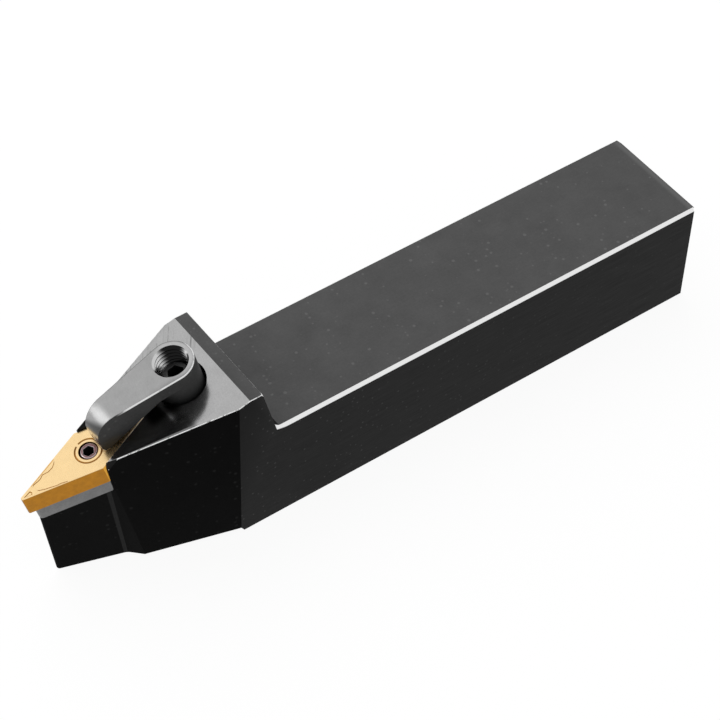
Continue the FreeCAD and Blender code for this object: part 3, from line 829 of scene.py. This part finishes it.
class TOOL_HOLDER_OT_insert(Operator):
    """Finish the insert: gold coated, with chip grooves at its sharp corners"""

    bl_idname = "tool_holder.insert"
    bl_label = "Insert"

    def execute(self, context):
        look = context.scene.insert_finish
        centre = tilted_axes(CENTRE_REACH, 0, -THICKNESS / 2)
        thing = merged_copy("insert", "insert_plate")
        apply_place(thing, centre.inverted())
        self.strip_to_sides(thing)
        finishes = [
            self.coating("Coated face", look.face, 0.28, (0.3, 1.0, 0.0), 0.04),
            self.coating("Coating painted in shade at the front", look.side, 0.3, (0.0, 0.0, 1.0), 0.16),
            self.coating("Coating painted lit at the rear", look.back, 0.3, (0.0, 0.0, 1.0), 0.06),
            self.coating("Coating painted in shade in grooves", look.wall, 0.35, (0.3, 1.0, 0.0), 0.1),
            self.coating("Coated edge", look.face, 0.2, (0.3, 1.0, 0.0), 0.02),
        ]
        dress(thing, finishes, self.finish_of)
        break_edges(thing, look.edge, LIP, lambda ends, faces: bend_angle(faces) > 1.2, steps=1)
        bpy.ops.mesh.primitive_cylinder_add(vertices=96, radius=HOLE_RADIUS * MM, depth=8 * MM)
        carve(thing, bpy.context.object, lambda face: GROOVE)
        for turn in (0, math.pi):
            lift = Matrix.Translation((0, 0, THICKNESS / 2 * MM))
            place = Matrix.Rotation(turn, 4, "X") @ lift
            carve(thing, self.ring_tool(look.ring_depth), self.pocket_finish, place)
            for way in (1, -1):
                dimple = self.dimple_tool(look.groove_depth, way)
                carve(thing, dimple, self.pocket_finish, place)
                for hand in (1, -1):
                    groove = self.groove_tool(look.groove_depth, way, hand)
                    carve(thing, groove, self.groove_finish, place)
        apply_place(thing, centre)
        smooth(thing, 20)
        stand_for(thing, "insert", "holder")
        return {"FINISHED"}

    @staticmethod
    def strip_to_sides(thing):
        """Keep only the outer wall and close it above and below with plain faces."""

        def heights(part):
            return [thing.data.vertices[i].co.z / MM for i in part.vertices]

        def not_wall(face):
            return max(heights(face)) - min(heights(face)) < THICKNESS - 0.05

        choose(thing, "FACE", not_wall)
        bpy.ops.mesh.delete(type="FACE")
        close_edit()
        for side in (1, -1):
            choose(thing, "EDGE", lambda edge: min(z * side for z in heights(edge)) > 2.3)
            bpy.ops.mesh.edge_face_add()
            close_edit()
        outward(thing)

    @staticmethod
    def coating(name, tone, rough, marks, mottle):
        """Gold coating over a ground face."""
        material, tree = new_material(name)
        cloud = effect(tree, "Mottling", Size=1.5, Strength=mottle)
        lines = effect(tree, "Tool marks", Direction=marks, Spacing=0.08)
        shade = product(tree, cloud, ranged(tree, lines, 0.25, 0.75, 0.97, 1.03))
        roughness = ranged(tree, lines, 0.2, 0.8, rough * 0.9, rough * 1.1)
        set_shader(tree, tinted(tree, tone, shade), roughness, lines, 0.001, METAL)
        return material

    @staticmethod
    def finish_of(face):
        """The material of a plain face by its direction; rear sides take the painted lit copy of
        the side coating.
        """
        if abs(face.normal.z) > 0.9:
            return FACE
        return BACK if face.normal.x > 0.1 else FRONT

    @staticmethod
    def pocket_finish(face):
        """The finish of a pocket's floor, or of its wall in painted shade."""
        return FACE if abs(face.normal.z) > 0.95 else GROOVE

    @classmethod
    def groove_finish(cls, face):
        """The finish in a groove: the outer wall is as bright as the face, the inner wall in
        painted shade.
        """
        return FACE if face.normal.y * face.center.y > 0 else cls.pocket_finish(face)

    @staticmethod
    def groove_tool(depth, way, hand):
        """The cutter of the groove along one cutting edge: its inner wall is wavy or plain."""
        wavy = [(12.0, 0.55), (11.47, 0.84), (10.42, 0.90), (9.84, 1.05), (9.17, 1.48),
                (8.5, 1.36), (7.97, 1.27), (6.94, 1.50), (6.24, 2.06), (5.88, 2.70)]
        plain = [(11.63, 0.48), (11.14, 0.77), (10.39, 1.18), (9.72, 1.44), (8.92, 1.79),
                 (8.25, 2.05), (7.5, 2.21), (6.97, 2.44), (6.33, 2.70)]
        inner, lean, land = (wavy, 0.30, 0.45) if hand == way else (plain, 0.0, 0.55)
        sharp_corner, slope = 15.84, math.tan(math.radians(17.5))
        outer = [(reach, (sharp_corner - land - reach) * slope)
                 for reach in (inner[-1][0], inner[0][0])]
        points = [(-reach * way, across * hand) for reach, across in inner + outer]
        shifts = [(0.0, 0.0)] + [(0.0, lean * hand)] * (len(inner) - 2) + [(0.0, 0.0)] * 3
        return pocket_tool(points, shifts, depth)

    @staticmethod
    def dimple_tool(depth, way):
        """The cutter of the dimple behind the tip."""
        corners = [(14.4, -0.04), (13.55, 0.16), (12.75, 0.38), (12.5, -0.15), (12.75, -0.6),
                   (13.4, -0.45)]
        middle = (13.2, -0.1)
        points = [(-reach * way, across * way) for reach, across in corners]
        shifts = [((reach - middle[0]) * 0.3 * way, (middle[1] - across) * 0.45 * way)
                  for reach, across in corners]
        return pocket_tool(points, shifts, depth)

    @staticmethod
    def ring_tool(depth):
        """The cutter of the ring groove round the hole, which is open for a short way."""
        width, radius, gap = 0.17, 2.55, 0.035
        high, low = 0.1, -depth / MM
        spread = width * (high - low) / -low
        corners = [(radius - spread, high), (radius + spread, high), (radius, low)]
        tool = sweep_tool(corners, 1 - gap, steps=96)
        apply_place(tool, Matrix.Rotation(math.radians(118), 4, "Z"))
        return tool


SATIN, BLACK, RIM_HIGHLIGHT, THREAD, FOOT = range(5)


class TOOL_HOLDER_OT_clamp(Operator):
    """Finish the finger clamp: satin on top, blackened at the sides, threaded in its hole"""

    bl_idname = "tool_holder.clamp"
    bl_label = "Finger clamp"

    def execute(self, context):
        look = context.scene.clamp_finish
        thing = merged_copy("clamp", "finger_clamp")
        dress(thing, self.finishes(look), self.finish_of)
        break_edges(thing, look.edge, FOOT, self.foot_edge)
        tool = thread_tool(base=2.95, crest=3.5, half=0.48, pitch=look.pitch / MM,
                           low=-5, high=8.5)
        carve(thing, tool, lambda face: THREAD, tilted_axes(CLAMP_REACH, 0, 0))
        smooth(thing)
        stand_for(thing, "clamp", "clamp")
        return {"FINISHED"}

    @classmethod
    def finishes(cls, look):
        """The materials, in the order of their slots; the thread has painted shade on its far rear
        side, the sides painted shade low down, and the upper edge a painted highlight on its near
        side.
        """
        side = blackened_steel("Blackened clamp", look.side, grey(0.2), gloss=0.12, grime=0.12)
        rim_highlight = worn_steel("Clamp rim painted highlight", look.rim_highlight, look.top, 0.9, size=2.0)
        thread = bare_steel("Cut thread", look.thread, 0.15, spacing=1.0, mottle=0.0, lines=0.0)
        thread_shade_way = (ALONG * 0.607 + FARWARD * 0.794).normalized()
        stud = tilted(CLAMP_REACH, 0, 0)
        return [
            cls.satin("Satin clamp", look.top, look.ring, look.side),
            # Painted shade: the sides darken towards the bottom, where they meet the deck.
            masked(side, grey(0.015), UP, TIP, low=4.0, high=0.5),
            # The painted rim highlight fades out towards the bend.
            masked(rim_highlight, look.side, ALONG, TIP, low=24.5, high=21.5),
            # Painted shade on the thread's far rear side.
            masked(thread, grey(0.015), thread_shade_way, stud, low=1.7, high=2.9),
            blackened_steel("Rubbed foot", (0.42, 0.42, 0.43), grey(0.1), mottle=0.5, grime=0.8),
        ]

    @staticmethod
    def finish_of(face):
        """The material of a face by its direction and place."""
        way, place = face.normal, face.center
        reach, level, up = reach_of(place), level_of(place), way.dot(UP)
        if from_stud(place) < 3.5 and up < 0.97:
            return THREAD
        if reach < 17.5 and level < 0.9 and way.dot(ALONG) < -0.5:
            return FOOT
        front = way.dot(ALONG) < -0.2 and abs(way.y) < 0.3 and level > 0.5 and reach < 24
        if up > 0.97 or front:
            return SATIN
        # Painted highlight: the upper edge's near side, behind the bend, takes the bright rim.
        rim_highlit = level > 7.3 and reach > 21.4 and way.x * 0.5 - way.y * 0.85 > 0
        return RIM_HIGHLIGHT if rim_highlit else BLACK

    @staticmethod
    def foot_edge(ends, faces):
        """Edges of the foot."""
        near_foot = all(level_of(end) < 1.2 and reach_of(end) < 20 for end in ends)
        return near_foot and bend_angle(faces) > 0.25

    @staticmethod
    def satin(name, tone, ring_tone, bend_shade_tone):
        """Satin steel, lighter in a ring round the hole, with painted shade at the bend and toe.
        """
        material, tree = new_material(name)
        level, across = along(tree, UP), along(tree, FARWARD)
        reach = difference(tree, along(tree, ALONG), CLAMP_REACH)
        squares = math_node(
            tree, "ADD", product(tree, reach, reach), product(tree, across, across)
        )
        radius = math_node(tree, "SQRT", squares)
        ring = product(tree, ranged(tree, radius, 4.3, 3.9), ranged(tree, reach, -2.5, 0.5))
        # Painted shade: the finger's bend and the toe turn to the dark side tone.
        bend = math_node(tree, "ADD", level, product(tree, across, 0.35))
        bend = product(tree, ranged(tree, bend, 3.6, 4.4), ranged(tree, bend, 6.7, 5.5))
        toe = ranged(tree, math_node(tree, "ADD", level, across), 1.7, 0.9)
        dark = product(tree, math_node(tree, "MAXIMUM", bend, toe), 0.85)
        cloud = effect(tree, "Mottling", Size=3.0, Strength=0.08)
        fine = effect(tree, "Mottling", Size=0.3, Strength=0.06)
        lines = effect(tree, "Tool marks", Direction=(0.3, 1.0, 0.0), Spacing=0.15)
        shade = product(tree, cloud, ranged(tree, lines, 0.25, 0.75, 0.96, 1.04), fine)
        streaks = effect(tree, "Tool marks", Direction=UP, Spacing=0.5)
        silver = blend(tree, ranged(tree, streaks, 0.45, 0.58), grey(0.09), grey(0.5))
        foot = ranged(tree, level, 1.3, 1.1)
        colour = blend(tree, ring, tone, ring_tone)
        colour = blend(tree, dark, colour, bend_shade_tone)
        colour = blend(tree, foot, colour, silver)
        metallic = {"Metallic": difference(tree, 1.0, foot)}
        rough = ranged(tree, lines, 0.2, 0.8, 0.3, 0.36)
        set_shader(tree, tinted(tree, colour, shade), rough, lines, 0.001, metallic)
        return material


class TOOL_HOLDER_OT_lock_pin(Operator):
    """Finish the lock pin: tempered steel with a hex socket"""

    bl_idname = "tool_holder.lock_pin"
    bl_label = "Lock pin"

    def execute(self, context):
        look = context.scene.screw_finish
        thing = merged_copy("lock_pin", "lock_pin_screw")
        finishes = [
            bare_steel("Tempered pin", look.pin, 0.35, mottle=0.15),
            bare_steel("Pin edge", (0.6, 0.55, 0.55), 0.25),
            # Painted shade inside the hex socket.
            blackened_steel("Pin socket painted shade", look.socket, look.socket, gloss=0.05),
        ]
        dress(thing, finishes, self.finish_of)
        break_edges(thing, look.edge, slot=1, test=self.head_edge)
        smooth(thing)
        stand_for(thing, "lock_pin", "lock_pin")
        return {"FINISHED"}

    @staticmethod
    def finish_of(face):
        """The last material for the socket's walls and the first for the rest."""
        centre = tilted(CENTRE_REACH, 0, 0) * MM
        inner = (face.center - centre).cross(UP).length < 1.2 * MM
        wall = abs(face.normal.dot(UP)) < 0.99 and level_of(face.center) > -4
        return 2 if inner and wall else 0

    @staticmethod
    def head_edge(ends, faces):
        """Edges of the head and its socket."""
        return all(level_of(end) > -1 for end in ends) and bend_angle(faces) > 0.5


class TOOL_HOLDER_OT_clamp_stud(Operator):
    """Finish the clamp stud: a right-hand and a left-hand thread on dull steel"""

    bl_idname = "tool_holder.clamp_stud"
    bl_label = "Clamp stud"

    def execute(self, context):
        look = context.scene.screw_finish
        thing = merged_copy("clamp_stud", "threaded_stud")
        finishes = [
            bare_steel("Dull stud", look.stud, 0.4),
            # Painted shade inside the hex socket.
            blackened_steel("Stud socket painted shade", look.socket, look.socket, gloss=0.05),
        ]
        dress(thing, finishes, self.finish_of)
        for low, high, hand in ((-3.4, 4.4, 1), (-18.0, -5.9, -1)):
            tool = thread_tool(base=3.1, crest=2.5, half=0.45, pitch=look.pitch / MM,
                               low=low, high=high, hand=hand)
            carve(thing, tool, lambda face: 0, tilted_axes(CLAMP_REACH, 0, 0))
        smooth(thing)
        stand_for(thing, "clamp_stud", "clamp_stud")
        return {"FINISHED"}

    @staticmethod
    def finish_of(face):
        """The second material for the sockets' walls and the first for the rest."""
        return int(from_stud(face.center) < 1.9 and abs(face.normal.dot(UP)) < 0.99)


class TOOL_HOLDER_OT_studio(Operator):
    """Set the floor, lamps, white surroundings and camera"""

    bl_idname = "tool_holder.studio"
    bl_label = "Studio"

    def execute(self, context):
        look = context.scene.studio_light
        bpy.ops.mesh.primitive_plane_add(size=6, location=(0, 0, 0))
        floor = bpy.context.object
        floor.name = "floor"
        floor.data.materials.append(self.white_floor())
        self.surroundings(context, look.dome)
        softbox = self.lamp("softbox", (0.12, 0.62, 1.0), 1.2, look.softbox)
        softbox.visible_glossy = False
        self.lamp("sheen", (0.0, 0.60, 0.95), 1.2, look.sheen)
        front = self.lamp("front_lamp", (-0.92, 0.66, 0.68), 0.6, look.front)
        front.data.shape = "RECTANGLE"
        front.data.size_y = 1.0
        context.scene.view_settings.view_transform = "Standard"
        bpy.ops.object.camera_add(location=EYE, rotation=GAZE)
        camera = bpy.context.object
        camera.name = "photo_camera"
        camera.data.sensor_width = 36
        camera.data.lens = look.lens
        camera.data.clip_start = 0.01
        context.scene.camera = camera
        return {"FINISHED"}

    @staticmethod
    def lamp(name, place, size, power):
        """A square lamp that faces the head of the tool."""
        bpy.ops.object.light_add(type="AREA", location=place)
        lamp = bpy.context.object
        lamp.name = name
        lamp.data.size = size
        lamp.data.energy = power
        aim = Vector((-0.03, 0, 0.02)) - Vector(place)
        lamp.rotation_euler = aim.to_track_quat("-Z", "Y").to_euler()
        return lamp

    @staticmethod
    def seen_rays(tree):
        """One for camera, glossy and transmission rays."""
        rays = add(tree, "LightPath").outputs
        seen = math_node(tree, "MAXIMUM", rays["Is Camera Ray"], rays["Is Glossy Ray"])
        return math_node(tree, "MAXIMUM", seen, rays["Is Transmission Ray"])

    @classmethod
    def white_floor(cls):
        """White paper that keeps the tool's shadow."""
        material, tree = new_material("White floor")
        grain = effect(tree, "Mottling", Size=40.0, Strength=0.01)
        shader = tree.nodes["Principled BSDF"]
        paper = {"Base Color": tinted(tree, grey(0.95), grain), "Roughness": 0.9,
                 "Specular IOR Level": 0.0}
        set_inputs(tree, shader, paper)
        glow = add(tree, "Emission", {"Strength": 1.0})
        share = product(tree, cls.seen_rays(tree), 0.93)
        mix = add(tree, "MixShader", {0: share, 1: shader.outputs["BSDF"], 2: glow.outputs[0]})
        tree.links.new(mix.outputs[0], tree.nodes["Material Output"].inputs["Surface"])
        return material

    @classmethod
    def surroundings(cls, context, strength):
        """White all round where it is seen, and plain light elsewhere."""
        world = bpy.data.worlds.new("Studio")
        context.scene.world = world
        world.use_nodes = True
        tree = world.node_tree
        tree.nodes.clear()
        power = ranged(tree, cls.seen_rays(tree), 0.0, 1.0, strength, 1.0)
        glow = add(tree, "Background", {"Strength": power})
        add(tree, "OutputWorld", {"Surface": glow.outputs[0]})


class TOOL_HOLDER_PT_pieces(Panel):
    """Lists the steps that finish the tool holder"""

    bl_label = "Tool Holder"
    bl_idname = "TOOL_HOLDER_PT_pieces"
    bl_space_type = "VIEW_3D"
    bl_region_type = "UI"
    bl_category = "Tool Holder"

    def draw(self, context):
        for step, finish, kind in STEPS:
            box = self.layout.box()
            box.operator(step.bl_idname)
            look = getattr(context.scene, finish)
            for label in look.bl_rna.properties.keys():
                if label not in {"name", "rna_type"}:
                    box.prop(look, label)


STEPS = (
    (TOOL_HOLDER_OT_holder, "holder_finish", HolderFinish),
    (TOOL_HOLDER_OT_shim, "shim_finish", ShimFinish),
    (TOOL_HOLDER_OT_insert, "insert_finish", InsertFinish),
    (TOOL_HOLDER_OT_clamp, "clamp_finish", ClampFinish),
    (TOOL_HOLDER_OT_lock_pin, "screw_finish", ScrewFinish),
    (TOOL_HOLDER_OT_clamp_stud, "screw_finish", ScrewFinish),
    (TOOL_HOLDER_OT_studio, "studio_light", StudioLight),
)
FINISHES = {label: kind for step, label, kind in STEPS}


def register():
    for label, kind in FINISHES.items():
        bpy.utils.register_class(kind)
        setattr(bpy.types.Scene, label, PointerProperty(type=kind))
    for step, label, kind in STEPS:
        bpy.utils.register_class(step)
    bpy.utils.register_class(TOOL_HOLDER_PT_pieces)


def unregister():
    bpy.utils.unregister_class(TOOL_HOLDER_PT_pieces)
    for step, label, kind in reversed(STEPS):
        bpy.utils.unregister_class(step)
    for label, kind in FINISHES.items():
        delattr(bpy.types.Scene, label)
        bpy.utils.unregister_class(kind)


def main():
    register()
    bpy.ops.tool_holder.holder()
    bpy.ops.tool_holder.shim()
    bpy.ops.tool_holder.insert()
    bpy.ops.tool_holder.clamp()
    bpy.ops.tool_holder.lock_pin()
    bpy.ops.tool_holder.clamp_stud()
    bpy.ops.tool_holder.studio()


if __name__ == "__main__":
    main()
